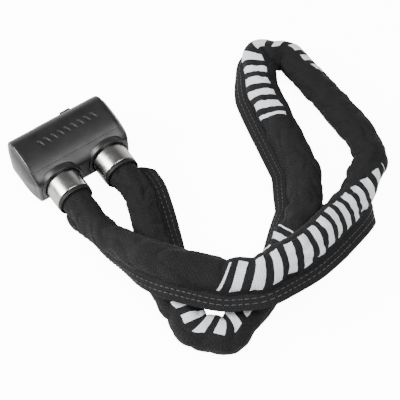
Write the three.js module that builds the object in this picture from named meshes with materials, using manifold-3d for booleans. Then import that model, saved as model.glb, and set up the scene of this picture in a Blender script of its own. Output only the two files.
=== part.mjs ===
// Chain lock: a moulded lock head, two steel ferrules and a square-section chain in a fabric sleeve.
// Millimetres, +Z up. The origin is the centre of the head's flat underside; the ferrules point to -Y
// and the keyway faces +Y.
import * as THREE from "three";
import { mergeVertices } from "three/addons/utils/BufferGeometryUtils.js";
import Module from "manifold-3d";

const wasm = await Module();
wasm.setup();

// ---- Driving dimensions ----
const headLength = 84;
const headFront = -23;
const headBack = 23;
const headHeight = 34;
const wall = 2.5;
const capDepth = 6;
const partingFront = 30;
const partingBack = 3;
const gap = 0.3;

const socketX = 19.5;
const axisZ = 16.5;
const ferruleRadius = 13.6;
const ferruleMouth = -40;
const ferruleSeat = -21.8;
const plugRadius = 7;
const grooveRadius = 3.6;
const grooveY = -16.6;
const linkPinY = -35;

const keyAxisZ = 14.5;
const coreRadius = 6;
const throwRadius = 2.5;
const boltThickness = 4;

const linkBar = 4.3;
const linkInnerWidth = 9.2;
const linkCount = 31;
const sleeveHalfWidth = 13;
const sleeveHalfHeight = 10.7;
const sleeveWall = 0.8;

// ---- Materials ----
const blackPlastic = new THREE.MeshStandardMaterial({ color: 0x464646, roughness: 0.5, metalness: 0 });
const greyPlastic = new THREE.MeshStandardMaterial({ color: 0x696b6c, roughness: 0.5, metalness: 0 });
const polishedSteel = new THREE.MeshStandardMaterial({ color: 0x9a9a98, roughness: 0.2, metalness: 1 });
const zincAlloy = new THREE.MeshStandardMaterial({ color: 0x8a8d90, roughness: 0.5, metalness: 1 });
const brass = new THREE.MeshStandardMaterial({ color: 0xb49a5a, roughness: 0.35, metalness: 1 });
const blackRubber = new THREE.MeshStandardMaterial({ color: 0x161616, roughness: 0.8, metalness: 0 });
const chainSteel = new THREE.MeshStandardMaterial({ color: 0x6f7275, roughness: 0.45, metalness: 1 });
const wovenNylon = new THREE.MeshStandardMaterial({ color: 0x2f3032, roughness: 0.95, metalness: 0 });

const lock = new THREE.Group();

// ---- Solids ----
function solid(geometry) {
  geometry.deleteAttribute("normal");
  geometry.deleteAttribute("uv");
  const merged = mergeVertices(geometry, 1e-4);
  const vertProperties = new Float32Array(merged.attributes.position.array);
  const triVerts = new Uint32Array(merged.index.array);
  return new wasm.Manifold(new wasm.Mesh({ numProp: 3, vertProperties, triVerts }));
}

function toGeometry(manifold) {
  const mesh = manifold.getMesh();
  const geometry = new THREE.BufferGeometry();
  geometry.setAttribute("position", new THREE.BufferAttribute(mesh.vertProperties, 3));
  geometry.setIndex(new THREE.BufferAttribute(mesh.triVerts, 1));
  geometry.computeVertexNormals();
  return geometry;
}

function box(low, high) {
  const size = high.map((value, axis) => value - low[axis]);
  const geometry = new THREE.BoxGeometry(...size);
  geometry.translate(...high.map((value, axis) => (value + low[axis]) / 2));
  return solid(geometry);
}

// A round bar along Y, with its centre line at x and z.
function barY(radius, from, to, x, z, segments = 24) {
  const geometry = new THREE.CylinderGeometry(radius, radius, to - from, segments);
  geometry.translate(x, (from + to) / 2, z);
  return solid(geometry);
}

function barX(radius, from, to, y, z, segments = 16) {
  const geometry = new THREE.CylinderGeometry(radius, radius, to - from, segments);
  geometry.rotateZ(Math.PI / 2);
  geometry.translate((from + to) / 2, y, z);
  return solid(geometry);
}

function barZ(radius, from, to, x, y, segments = 14) {
  const geometry = new THREE.CylinderGeometry(radius, radius, to - from, segments);
  geometry.rotateX(Math.PI / 2);
  geometry.translate(x, y, (from + to) / 2);
  return solid(geometry);
}

// A turned piece about a line along Y. Each profile point is [radius, y].
function turned(profile, x, z, segments = 24) {
  const points = profile.map(([radius, y]) => new THREE.Vector2(radius, y));
  const geometry = new THREE.LatheGeometry(points, segments);
  geometry.translate(x, 0, z);
  return solid(geometry);
}

function addGeometry(name, geometry, material) {
  const mesh = new THREE.Mesh(geometry, material);
  mesh.name = name;
  lock.add(mesh);
  return mesh;
}

function add(name, manifold, material) {
  return addGeometry(name, toGeometry(manifold), material);
}

// ---- Lock head ----
// Turns a solid drawn in X and Y and drawn out along Z, so that it is drawn in Y and Z along X.
const alongX = new THREE.Matrix4().set(0, 0, 1, 0, 1, 0, 0, 0, 0, 1, 0, 0, 0, 0, 0, 1);

function prism(outline, length, segments) {
  const geometry = new THREE.ExtrudeGeometry(outline, {
    depth: length,
    curveSegments: segments,
    bevelEnabled: false,
  });
  geometry.translate(0, 0, -length / 2);
  return geometry;
}

function roundedRectangle(left, right, bottom, top, radius) {
  const outline = new THREE.Shape();
  outline.absarc(right - radius, bottom + radius, radius, -Math.PI / 2, 0, false);
  outline.absarc(right - radius, top - radius, radius, 0, Math.PI / 2, false);
  outline.absarc(left + radius, top - radius, radius, Math.PI / 2, Math.PI, false);
  outline.absarc(left + radius, bottom + radius, radius, Math.PI, 1.5 * Math.PI, false);
  return outline;
}

// The head's side outline in Y and Z, shrunk by inset and drawn out along X.
function sideForm(inset, length) {
  const front = headFront + inset;
  const back = headBack - inset;
  const floor = inset;
  const top = headHeight - inset;
  const backRadius = 12 - inset;
  const outline = new THREE.Shape();
  outline.moveTo(front + 9, floor);
  outline.lineTo(back - 4, floor);
  outline.quadraticCurveTo(back, floor, back, floor + 4);
  outline.absarc(back - backRadius, top - backRadius, backRadius, 0, Math.PI / 2, false);
  outline.quadraticCurveTo(-4, top, -14, top - 4);
  outline.quadraticCurveTo(front, top - 7, front, top - 11);
  outline.lineTo(front, floor + 9);
  outline.quadraticCurveTo(front, floor + 1, front + 9, floor);
  const geometry = prism(outline, length, 5);
  geometry.applyMatrix4(alongX);
  return solid(geometry);
}

// The head's outer form: the side outline, with its ends rounded from the front and from above.
function outerForm() {
  const frontView = prism(roundedRectangle(-endX, endX, 0, headHeight, 8), 100, 4);
  frontView.rotateX(Math.PI / 2);
  const topView = prism(roundedRectangle(-endX, endX, headFront, headBack, 5), 100, 3);
  return sideForm(0, headLength + 2).intersect(solid(frontView)).intersect(solid(topView));
}

// Everything above the sloped parting face that runs from the front edge down to the back wall.
function aboveParting(lift) {
  const outline = new THREE.Shape();
  outline.moveTo(-40, partingFront + lift);
  outline.lineTo(-13, partingFront + lift);
  outline.lineTo(24, partingBack + lift);
  outline.lineTo(40, partingBack + lift);
  outline.lineTo(40, 60);
  outline.lineTo(-40, 60);
  const geometry = prism(outline, 120, 1);
  geometry.applyMatrix4(alongX);
  return solid(geometry);
}

const endX = headLength / 2;
const capX = endX - capDepth;
const cavity = sideForm(wall, headLength - 2 * wall);
const shell = outerForm().subtract(cavity);
const middle = box([-capX + gap / 2, -60, -10], [capX - gap / 2, 60, 60]);
const middleShell = shell.intersect(middle);

const bossX = 29;
const bossY = 12;
const screwRadius = 1.4;
const coverBosses = [-bossX, bossX].map((x) => barZ(3.4, 2.9, headHeight - 1, x, bossY));
let cover = middleShell.intersect(aboveParting(gap));
for (const boss of coverBosses) {
  cover = cover.add(boss);
}
for (const x of [-bossX, bossX]) {
  cover = cover.subtract(barZ(screwRadius + 0.2, 0, 12, x, bossY));
}
cover = cover.subtract(barY(coreRadius + 1.4, 15, 30, 0, keyAxisZ));
add("head_cover", cover, blackPlastic);

for (const [side, name] of [[-1, "end_cap_left"], [1, "end_cap_right"]]) {
  const near = side * (capX + gap / 2);
  const far = side * (endX + 10);
  const half = box([Math.min(near, far), -60, -10], [Math.max(near, far), 60, 60]);
  add(name, shell.intersect(half), greyPlastic);
}

// Lower shell, with an arched lip round the upper side of each ferrule seat.
const lipRadius = 16.2;
const seatRadius = 14.3;
const seatFloor = ferruleSeat + gap;
let base = middleShell.subtract(aboveParting(0));
for (const x of [-socketX, socketX]) {
  const lip = barY(lipRadius, -24.4, -18.6, x, axisZ, 32).intersect(box([-60, -30, 9], [60, 0, 60]));
  base = base.add(lip);
}
for (const x of [-socketX, socketX]) {
  base = base.subtract(barY(seatRadius, -30, seatFloor, x, axisZ, 32));
  base = base.subtract(barY(plugRadius + 0.6, -30, -10, x, axisZ));
}
base = base.subtract(cavity);
base = base.subtract(aboveParting(0));
const screwPlaces = [
  [-bossX, -10],
  [bossX, -10],
  [-bossX, bossY],
  [bossX, bossY],
];
for (const [x, y] of screwPlaces) {
  base = base.subtract(barZ(3.1, -1, 1.9, x, y));
  base = base.subtract(barZ(screwRadius + 0.3, -1, 9, x, y));
}
add("head_base", base, blackPlastic);

screwPlaces.forEach(([x, y], index) => {
  const screw = barZ(2.7, 0.3, 1.6, x, y).add(barZ(screwRadius, 1.5, 9, x, y));
  add("base_screw_" + (index + 1), screw, chainSteel);
});

// ---- Lock body, with the plug sockets, the bolt channel and the cam chamber ----
const bodyFront = -19.9;
const bodyBack = -1;
const boltHalf = boltThickness / 2;
const boltMidZ = keyAxisZ + 2.1;
let body = box([-33, bodyFront, 3.2], [33, bodyBack, 27]).intersect(sideForm(wall + 0.4, 70));
for (const x of [-socketX, socketX]) {
  body = body.subtract(barY(plugRadius + 0.4, -30, -9.5, x, axisZ));
}
body = body.subtract(
  box([-socketX, grooveY - boltHalf - 0.3, boltMidZ - 4.8], [8, grooveY + boltHalf + 0.3, boltMidZ + 4.8]),
);
body = body.subtract(barY(6.3, grooveY, 0, 0, keyAxisZ));
for (const x of [-bossX, bossX]) {
  body = body.subtract(barZ(screwRadius + 0.2, 0, 9.5, x, -10));
}
const anchorX = socketX - grooveRadius - 1.8;
body = body.subtract(barZ(1.7, 0, 26, anchorX, grooveY));
add("lock_body", body, zincAlloy);

// ---- Cylinder, cam and bolt ----
const housing = barY(9.8, -0.6, 20.1, 0, keyAxisZ, 28).subtract(barY(coreRadius + 0.3, -5, 25, 0, keyAxisZ, 28));
add("cylinder_housing", housing, brass);

const keyway = box([-1.1, 5, keyAxisZ - 4], [1.1, 30, keyAxisZ + 4]);
const shank = barY(3, -11.9, -2.9, 0, keyAxisZ, 16);
const core = barY(coreRadius, -3, 22.4, 0, keyAxisZ, 28).add(shank).subtract(keyway);
add("key_core", core, polishedSteel);

const circlip = barY(5.4, -4.4, -3.4, 0, keyAxisZ, 20).subtract(barY(3.3, -5, -2, 0, keyAxisZ, 16));
add("core_circlip", circlip, chainSteel);

// The drive pin stands 45 degrees from the cam's top, towards +X, when the bolt is drawn back.
const pinX = throwRadius * Math.SQRT1_2;
const drivePin = barY(1.4, grooveY - boltHalf, -13.4, pinX, keyAxisZ + pinX, 12);
const cam = barY(5.6, -14, -12.2, 0, keyAxisZ, 20).add(drivePin);
add("cam_plate", cam, chainSteel);

const boltTip = -socketX + plugRadius + 0.4;
let bolt = box(
  [boltTip, grooveY - boltHalf, boltMidZ - 4.5],
  [7, grooveY + boltHalf, boltMidZ + 4.5],
);
bolt = bolt.subtract(box([pinX - 1.8, -30, keyAxisZ - 0.1], [pinX + 1.8, 0, keyAxisZ + 4.5]));
add("lock_bolt", bolt, chainSteel);

// ---- Keyway escutcheon and its sliding dust cover ----
const coverLeft = -10;
const coverRight = 18;
const railTop = 22;
let escutcheon = box([-14, headBack + gap, 5], [37, headBack + 3, railTop]);
escutcheon = escutcheon.subtract(box([-11, headBack + 1, 7.5], [40, headBack + 2.7, 19.5]));
escutcheon = escutcheon.subtract(box([-11, headBack + 1, 9], [40, headBack + 5, 18]));
escutcheon = escutcheon.subtract(barY(coreRadius + 0.8, 20, 30, 0, keyAxisZ));
add("keyway_escutcheon", escutcheon, blackPlastic);

let dustCover = box([coverLeft, headBack + 1.3, 7.9], [coverRight, headBack + 2.4, 19.1]);
dustCover = dustCover.add(box([coverLeft + 1, headBack + 2, 9.4], [coverRight - 0.5, headBack + 3.4, 17.6]));
dustCover = dustCover.add(box([coverRight - 9, headBack + 3.2, 9.4], [coverRight - 0.5, headBack + 4.8, 21.6]));
add("dust_cover", dustCover, blackPlastic);

// ---- Ferrules, plugs, clamp rings and cross pins ----
function ferruleSet(prefix, x) {
  const ferrule = turned(
    [
      [7.6, ferruleSeat - 2],
      [7.6, ferruleSeat],
      [ferruleRadius - 0.8, ferruleSeat],
      [ferruleRadius, ferruleSeat - 0.8],
      [ferruleRadius, ferruleMouth + 1],
      [ferruleRadius - 1, ferruleMouth],
      [11.7, ferruleMouth],
      [11.7, ferruleSeat - 2],
      [7.6, ferruleSeat - 2],
    ].reverse(),
    x,
    axisZ,
  );
  add(prefix + "_ferrule", ferrule, polishedSteel);

  let plug = turned(
    [
      [0, -37.5],
      [11.3, -37.5],
      [11.3, ferruleSeat - 2.3],
      [plugRadius, ferruleSeat - 2.3],
      [plugRadius, grooveY - 2.5],
      [grooveRadius, grooveY - 2.5],
      [grooveRadius, grooveY + 2.5],
      [plugRadius, grooveY + 2.5],
      [plugRadius, -12.4],
      [plugRadius - 1.2, -11.2],
      [0, -11.2],
    ],
    x,
    axisZ,
    20,
  );
  const slotHalf = linkBar / 2 + 0.5;
  plug = plug.subtract(box([x - slotHalf, -45, axisZ - 20], [x + slotHalf, linkPinY + 10.4, axisZ + 20]));
  plug = plug.subtract(barX(2.6, x - 20, x + 20, linkPinY, axisZ));
  add(prefix + "_plug", plug, polishedSteel);

  add(prefix + "_cross_pin", barX(2.3, x - 10.8, x + 10.8, linkPinY, axisZ), chainSteel);

  const ring = turned(
    [
      [11.8, ferruleMouth - 2.9],
      [13.2, ferruleMouth - 2.9],
      [13.4, ferruleMouth - gap],
      [11.8, ferruleMouth - gap],
      [11.8, ferruleMouth - 2.9],
    ],
    x,
    axisZ,
  );
  add(prefix + "_clamp_ring", ring, blackRubber);
}
ferruleSet("locking", -socketX);
ferruleSet("fixed", socketX);
add("fixed_anchor_pin", barZ(1.5, 6.5, 20.5, anchorX, grooveY), chainSteel);

// ---- Chain ----
// The chain's route, from the pin of the locking plug to the pin of the fixed plug. It lies on the
// ground, and its first part passes over the last part twice.
const lying = sleeveHalfHeight + 0.1;
const routePoints = [
  [-socketX, linkPinY, axisZ],
  [-socketX, -50, axisZ],
  [-19.4, -65, 16.7],
  [-17.5, -83, 20.4],
  [-15, -96, 26.8],
  [-10, -111, 32],
  [0, -129, 35.6],
  [13, -147, 34.4],
  [28, -161, 33.8],
  [43, -170, 35.4],
  [64, -173, 35.2],
  [92, -169, 29],
  [120, -161, 19.5],
  [146, -151, 12.4],
  [166, -142, lying],
  [179, -129, lying],
  [185, -108, lying],
  [187, -70, lying],
  [187, -36, lying],
  [184, -16, lying],
  [172, -7, lying],
  [160, -14, lying],
  [151, -38, lying],
  [141, -72, lying],
  [132, -107, lying],
  [122, -130, lying],
  [106, -142, lying],
  [80, -156, lying],
  [50, -172, lying],
  [24, -184, lying],
  [5, -184, lying],
  [-6, -170, lying],
  [-6, -147, lying],
  [0, -118, lying],
  [10, -90, 11.4],
  [19, -65, 15.6],
  [socketX, -50, axisZ],
  [socketX, linkPinY, axisZ],
];
const route = new THREE.CatmullRomCurve3(
  routePoints.map((point) => new THREE.Vector3(...point)),
  false,
  "centripetal",
);
const routeSamples = route.getSpacedPoints(4000);

// Two neighbouring links share a turning point. Odd links stand on edge, and their turning points are
// the middles of their end bars. Even links lie flat, and theirs are the centres of their round ends.
const uprightPitch = (innerLength) => innerLength + linkBar;
const flatPitch = (innerLength) => innerLength - linkInnerWidth;
const pinToTurn = (linkInnerWidth + linkBar) / 2;

// The turning points of a chain whose links have this inner length, and how far the last one lands
// beyond the fixed plug's end of the route.
function chainPoints(innerLength) {
  const start = new THREE.Vector3(-socketX, linkPinY + pinToTurn, axisZ);
  const points = [start];
  const samples = [0];
  let sample = 0;
  for (let link = 1; link <= linkCount; link += 1) {
    const reach = link % 2 === 1 ? uprightPitch(innerLength) : flatPitch(innerLength);
    const last = points[points.length - 1];
    while (sample < routeSamples.length && routeSamples[sample].distanceTo(last) < reach) {
      sample += 1;
    }
    if (sample === routeSamples.length) {
      const end = new THREE.Vector3(socketX, linkPinY + pinToTurn, axisZ);
      const beyond = reach - last.distanceTo(end);
      return { points, samples, miss: beyond + (linkCount - link) * reach };
    }
    points.push(routeSamples[sample].clone());
    samples.push(sample);
  }
  const left = points[points.length - 1].distanceTo(new THREE.Vector3(socketX, linkPinY + pinToTurn, axisZ));
  return { points, samples, miss: -left };
}

// The inner length that makes the chain end exactly at the fixed plug.
function fittedInnerLength() {
  let low = 26;
  let high = 36;
  for (let step = 0; step < 40; step += 1) {
    const middleLength = (low + high) / 2;
    if (chainPoints(middleLength).miss > 0) {
      high = middleLength;
    } else {
      low = middleLength;
    }
  }
  return low;
}
const linkInnerLength = fittedInnerLength();
const chain = chainPoints(linkInnerLength);
const turns = chain.points.slice(0, linkCount);
turns.push(new THREE.Vector3(socketX, linkPinY + pinToTurn, axisZ));

// A stadium outline of the given length and width, centred on the origin.
function stadium(path, length, width) {
  const radius = width / 2;
  const straight = length / 2 - radius;
  path.moveTo(-straight, -radius);
  path.lineTo(straight, -radius);
  path.absarc(straight, 0, radius, -Math.PI / 2, Math.PI / 2, false);
  path.lineTo(-straight, radius);
  path.absarc(-straight, 0, radius, Math.PI / 2, (3 * Math.PI) / 2, false);
  return path;
}

function linkGeometry() {
  const outer = stadium(new THREE.Shape(), linkInnerLength + 2 * linkBar, linkInnerWidth + 2 * linkBar);
  outer.holes.push(stadium(new THREE.Path(), linkInnerLength, linkInnerWidth));
  const geometry = new THREE.ExtrudeGeometry(outer, { depth: linkBar, bevelEnabled: false, curveSegments: 4 });
  geometry.translate(0, 0, -linkBar / 2);
  return toGeometry(solid(geometry));
}

const up = new THREE.Vector3(0, 0, 1);
for (let link = 1; link <= linkCount; link += 1) {
  const from = turns[link - 1];
  const to = turns[link];
  const along = to.clone().sub(from).normalize();
  const across = up.clone().cross(along).normalize();
  const rise = along.clone().cross(across);
  const mesh = addGeometry("chain_link_" + String(link).padStart(2, "0"), linkGeometry(), chainSteel);
  const standing = link % 2 === 1;
  const basis = standing
    ? new THREE.Matrix4().makeBasis(along, rise, across.clone().negate())
    : new THREE.Matrix4().makeBasis(along, across, rise);
  mesh.quaternion.setFromRotationMatrix(basis);
  mesh.position.copy(from).add(to).multiplyScalar(0.5);
}

// ---- Fabric sleeve, as plain tubes round the chain ----
// The tube's centre line passes through every turning point. Between them it keeps the links'
// height and a share of the route's curve.
const tubePoints = [
  new THREE.Vector3(-socketX, ferruleMouth - 3.3, axisZ),
  new THREE.Vector3(-socketX, -50, axisZ),
];
for (let link = 1; link < linkCount; link += 1) {
  const here = turns[link];
  tubePoints.push(here);
  if (link < linkCount - 1) {
    const chord = here.clone().lerp(turns[link + 1], 0.5);
    const onRoute = routeSamples[Math.round((chain.samples[link] + chain.samples[link + 1]) / 2)];
    const share = link % 2 === 1 ? 0.5 : 0.45;
    tubePoints.push(chord.clone().lerp(new THREE.Vector3(onRoute.x, onRoute.y, chord.z), share));
  }
}
tubePoints.push(new THREE.Vector3(socketX, -50, axisZ));
tubePoints.push(new THREE.Vector3(socketX, ferruleMouth - 3.3, axisZ));
const tubeLine = new THREE.CatmullRomCurve3(tubePoints, false, "centripetal");
const tubeLength = tubeLine.getLength();

// The stretch of the centre line between two distances from the locking ferrule.
class Stretch extends THREE.Curve {
  constructor(from, to) {
    super();
    this.from = from;
    this.to = to;
  }

  getPoint(t, target = new THREE.Vector3()) {
    return tubeLine.getPointAt((this.from + (this.to - this.from) * t) / tubeLength, target);
  }
}

function sleeve(name, from, to, steps) {
  const ringOf = (path, inset) => {
    for (let corner = 0; corner <= 12; corner += 1) {
      const angle = (corner * Math.PI) / 6;
      const place = [
        (sleeveHalfHeight - inset) * Math.cos(angle),
        (sleeveHalfWidth - inset) * Math.sin(angle),
      ];
      if (corner === 0) {
        path.moveTo(...place);
      } else {
        path.lineTo(...place);
      }
    }
    return path;
  };
  const section = ringOf(new THREE.Shape(), 0);
  section.holes.push(ringOf(new THREE.Path(), sleeveWall));
  const geometry = new THREE.ExtrudeGeometry(section, {
    steps,
    bevelEnabled: false,
    extrudePath: new Stretch(from, to),
  });
  add(name, solid(geometry), wovenNylon);
}

// How far along the tube's centre line its nearest place to a point is.
function distanceAlong(point) {
  const samples = tubeLine.getSpacedPoints(2000);
  let nearest = 0;
  samples.forEach((sample, index) => {
    if (sample.distanceTo(point) < samples[nearest].distanceTo(point)) {
      nearest = index;
    }
  });
  return (nearest / 2000) * tubeLength;
}

// The far loop folds up about the end bars of two flat links, one in each strand.
const firstLoopLink = 10;
const lastLoopLink = 21;
function endBar(turn, flatLinkEnd) {
  const along = turns[turn].clone().sub(turns[flatLinkEnd]).normalize();
  return turns[turn].clone().addScaledVector(along, pinToTurn);
}
const foldPoints = [
  endBar(firstLoopLink - 1, firstLoopLink),
  endBar(lastLoopLink, lastLoopLink + 1),
];
const foldA = distanceAlong(foldPoints[0]);
const foldB = distanceAlong(foldPoints[1]);

const cuffEnd = 8;
const pullRoom = 15;
const foldRoom = 10;
sleeve("sleeve_cuff", 0, cuffEnd, 1);
sleeve("sleeve_locking_strand", cuffEnd + pullRoom, foldA - foldRoom, 22);
sleeve("sleeve_loop", foldA + foldRoom, foldB - foldRoom, 34);
sleeve("sleeve_fixed_strand", foldB + foldRoom, tubeLength, 26);

export default lock;
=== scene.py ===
import math

import bmesh
import bpy
import numpy as np
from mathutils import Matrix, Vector, noise
from mathutils.bvhtree import BVHTree


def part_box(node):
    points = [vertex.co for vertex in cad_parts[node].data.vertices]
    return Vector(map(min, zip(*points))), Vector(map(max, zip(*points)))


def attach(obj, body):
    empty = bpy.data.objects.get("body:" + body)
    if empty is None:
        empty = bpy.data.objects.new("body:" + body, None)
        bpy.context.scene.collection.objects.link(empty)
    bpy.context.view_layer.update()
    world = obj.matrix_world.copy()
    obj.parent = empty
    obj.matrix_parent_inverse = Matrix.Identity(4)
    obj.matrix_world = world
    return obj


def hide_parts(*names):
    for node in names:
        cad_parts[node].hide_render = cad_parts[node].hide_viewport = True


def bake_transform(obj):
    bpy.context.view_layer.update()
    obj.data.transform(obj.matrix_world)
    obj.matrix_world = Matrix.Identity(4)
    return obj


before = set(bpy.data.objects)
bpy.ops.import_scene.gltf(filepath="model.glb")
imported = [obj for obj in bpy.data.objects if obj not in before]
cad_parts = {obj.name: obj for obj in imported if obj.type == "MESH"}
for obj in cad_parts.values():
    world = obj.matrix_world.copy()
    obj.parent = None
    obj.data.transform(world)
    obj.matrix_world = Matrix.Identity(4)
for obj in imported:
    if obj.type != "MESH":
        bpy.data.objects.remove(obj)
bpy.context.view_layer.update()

MM = 0.001

# ---- Lower shell of the lock head ----
# The tray that carries the lock works: black ABS, injection moulded, with an arched lip round each
# ferrule seat and four counterbored holes for the screws that hold the upper shell.


def linear(hex_colour):
    """An sRGB hex colour as the linear colour that the shaders work in."""
    channels = [int(hex_colour[at : at + 2], 16) / 255 for at in (1, 3, 5)]
    return [c / 12.92 if c <= 0.04045 else ((c + 0.055) / 1.055) ** 2.4 for c in channels] + [1]


def add(material, kind, links=None, **settings):
    """Adds a node to a material, with its settings, and its inputs as values or as other nodes' outputs."""
    made = material.node_tree.nodes.new(kind)
    for name, value in settings.items():
        setattr(made, name, value)
    for name, value in (links or {}).items():
        socket = made.inputs[name]
        if isinstance(value, bpy.types.NodeSocket):
            material.node_tree.links.new(value, socket)
        else:
            socket.default_value = value
    return made


def new_material(name):
    material = bpy.data.materials.new(name)
    material.use_nodes = True
    material.node_tree.nodes.clear()
    return material


def finish_material(material, surface):
    add(material, "ShaderNodeOutputMaterial", {"Surface": surface.outputs[0]})
    return material


def moulded_abs(name, base, worn, roughness):
    """ABS from a spark-eroded mould: a satin skin with a fine grain, a little polished by hands."""
    made = new_material(name)
    place = add(made, "ShaderNodeTexCoord").outputs["Object"]
    # Grain of the mould's skin, about 0.5 mm so that it shows.
    grain = add(made, "ShaderNodeTexNoise", {"Vector": place, "Scale": 1 / (0.5 * MM), "Detail": 3})
    # Slow change of gloss from handling, over about 14 mm.
    handled = add(made, "ShaderNodeTexNoise", {"Vector": place, "Scale": 1 / (14 * MM), "Detail": 4})
    # Hairline scuffs, 0.4 mm wide and stretched along the head.
    stretched = add(made, "ShaderNodeMapping", {"Vector": place, "Scale": (90, 2500, 1500)})
    scuffs = add(made, "ShaderNodeTexNoise", {"Vector": stretched.outputs[0], "Scale": 1, "Detail": 1})
    scuff = add(
        made,
        "ShaderNodeMapRange",
        {"Value": scuffs.outputs["Fac"], "From Min": 0.66, "From Max": 0.8, "To Min": 0, "To Max": 0.25},
    )
    tone = add(
        made,
        "ShaderNodeMix",
        {"Factor": handled.outputs["Fac"], "A": linear(base), "B": linear(worn)},
        data_type="RGBA",
    )
    tinted = add(
        made,
        "ShaderNodeMix",
        {"Factor": scuff.outputs[0], "A": tone.outputs["Result"], "B": linear("#2a2b2c")},
        data_type="RGBA",
    )
    gloss = add(
        made,
        "ShaderNodeMapRange",
        {
            "Value": handled.outputs["Fac"],
            "From Min": 0.3,
            "From Max": 0.7,
            "To Min": roughness,
            "To Max": roughness + 0.14,
        },
    )
    skin = add(
        made,
        "ShaderNodeBump",
        {"Height": grain.outputs["Fac"], "Strength": 0.16, "Distance": 0.12 * MM},
    )
    surface = add(
        made,
        "ShaderNodeBsdfPrincipled",
        {
            "Base Color": tinted.outputs["Result"],
            "Roughness": gloss.outputs[0],
            "IOR": 1.53,
            "Specular IOR Level": 0.38,
            "Normal": skin.outputs[0],
        },
    )
    return finish_material(made, surface)


black_abs = moulded_abs("black_abs_moulded", "#111112", "#161617", 0.34)


def smooth_mesh(mesh, sharp_degrees=32):
    mesh.shade_smooth()
    mesh.set_sharp_from_angle(angle=math.radians(sharp_degrees))


def piece(name, points, faces, body, material, slot, replaced=()):
    """A mesh piece, from points in millimetres, that rides on a body."""
    mesh = bpy.data.meshes.new(name)
    mesh.from_pydata([tuple(float(c) * MM for c in point) for point in points], [], faces)
    mesh.validate()
    work = bmesh.new()
    work.from_mesh(mesh)
    bmesh.ops.recalc_face_normals(work, faces=work.faces)
    work.to_mesh(mesh)
    work.free()
    smooth_mesh(mesh)
    mesh.materials.append(material)
    made = bpy.data.objects.new(name, mesh)
    bpy.context.scene.collection.objects.link(made)
    if body:
        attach(made, body)
    if replaced:
        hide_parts(*replaced)
    return made


def between(count, row, beyond):
    """The faces from one closed ring of points to another."""
    faces = []
    for column in range(count):
        after = (column + 1) % count
        near, far = row * count, beyond * count
        faces.append([near + column, near + after, far + after, far + column])
    return faces


def loft(rings):
    """Points and faces of a solid through closed rings of equal count, with both ends closed."""
    count = len(rings[0])
    points = [point for ring in rings for point in ring]
    faces = [list(range(count))[::-1]]
    for row in range(len(rings) - 1):
        faces += between(count, row, row + 1)
    last = (len(rings) - 1) * count
    faces.append(list(range(last, last + count)))
    return points, faces


def hoop(rings):
    """Points and faces of a solid through closed rings of equal count, the last joined to the first."""
    points = [point for ring in rings for point in ring]
    faces = []
    for row in range(len(rings)):
        faces += between(len(rings[0]), row, (row + 1) % len(rings))
    return points, faces


def turned(profile, x, z, segments=96):
    """Points and faces of a piece turned about a line along Y, from a closed profile of (radius, y)."""
    rings = []
    for step in range(segments):
        angle = 2 * math.pi * step / segments
        rings.append([(x + r * math.cos(angle), y, z + r * math.sin(angle)) for r, y in profile])
    return hoop(rings)


def rounded(corners, radius, steps=4):
    """A closed outline of (a, b) corners with each corner rounded."""
    made = []
    count = len(corners)
    for at, corner in enumerate(corners):
        here = Vector(corner)
        back = Vector(corners[at - 1]) - here
        ahead = Vector(corners[(at + 1) % count]) - here
        trim = min(radius, back.length * 0.45, ahead.length * 0.45)
        first = here + back.normalized() * trim
        last = here + ahead.normalized() * trim
        for step in range(steps + 1):
            t = step / steps
            made.append(tuple((1 - t) ** 2 * first + 2 * t * (1 - t) * here + t * t * last))
    return made


def curve(first, bend, last, steps):
    """Points from first to last on a curve that bends towards bend, without the last."""
    made = []
    for step in range(steps):
        t = step / steps
        weights = ((1 - t) ** 2, 2 * t * (1 - t), t * t)
        made.append(
            tuple(weights[0] * f + weights[1] * b + weights[2] * e for f, b, e in zip(first, bend, last))
        )
    return made


# The head's side outline in Y and Z, from the front of its flat underside round to it again.
head_front = -23
head_back = 23
head_height = 34
back_round = 12
head_outline = curve((-6, 0), (6, 0), (head_back - 4, 0), 8)
head_outline += curve((head_back - 4, 0), (head_back, 0), (head_back, 3.6), 8)
head_outline += [(head_back, 3.6), (head_back, 3.85)]
head_outline += curve((head_back, 4.2), (head_back, 12), (head_back, head_height - back_round), 10)
for turn in range(20):
    angle = math.pi / 2 * turn / 20
    head_outline.append(
        (
            head_back - back_round + back_round * math.cos(angle),
            head_height - back_round + back_round * math.sin(angle),
        )
    )
head_outline += curve((head_back - back_round, head_height), (-4, head_height), (-14, head_height - 4), 44)
head_outline += [(-14, 30), (-14.2, 29.9)]
head_outline += curve((-14.9, 29.63), (head_front, 26.7), (head_front, 23), 16)
head_outline += curve((head_front, 23), (head_front, 16), (head_front, 9), 10)
head_outline += curve((head_front, 9), (head_front, 1), (head_front + 9, 0), 14)
head_outline += curve((head_front + 9, 0), (-10, 0), (-6, 0), 4)


def inset(outline, depth):
    """A closed outline moved inwards; it runs anticlockwise."""
    count = len(outline)
    moved = []
    for at in range(count):
        (ya, za), (yb, zb) = outline[at - 1], outline[(at + 1) % count]
        length = math.hypot(yb - ya, zb - za)
        y, z = outline[at]
        moved.append((y - (zb - za) / length * depth, z + (yb - ya) / length * depth))
    return moved


parting_front = 30
parting_back = 3
parting_corner = -13


def parting_height(y):
    """The height of the face where the two shells part, which slopes down to the back."""
    if y < parting_corner:
        return parting_front
    slope = (parting_back - parting_front) / (24 - parting_corner)
    return parting_front + slope * (y - parting_corner)


wall = 2.5
cap_joint = 36
head_inner = inset(head_outline, wall)
below = [at for at, (y, z) in enumerate(head_outline) if z < parting_height(y) - 0.06]
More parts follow.
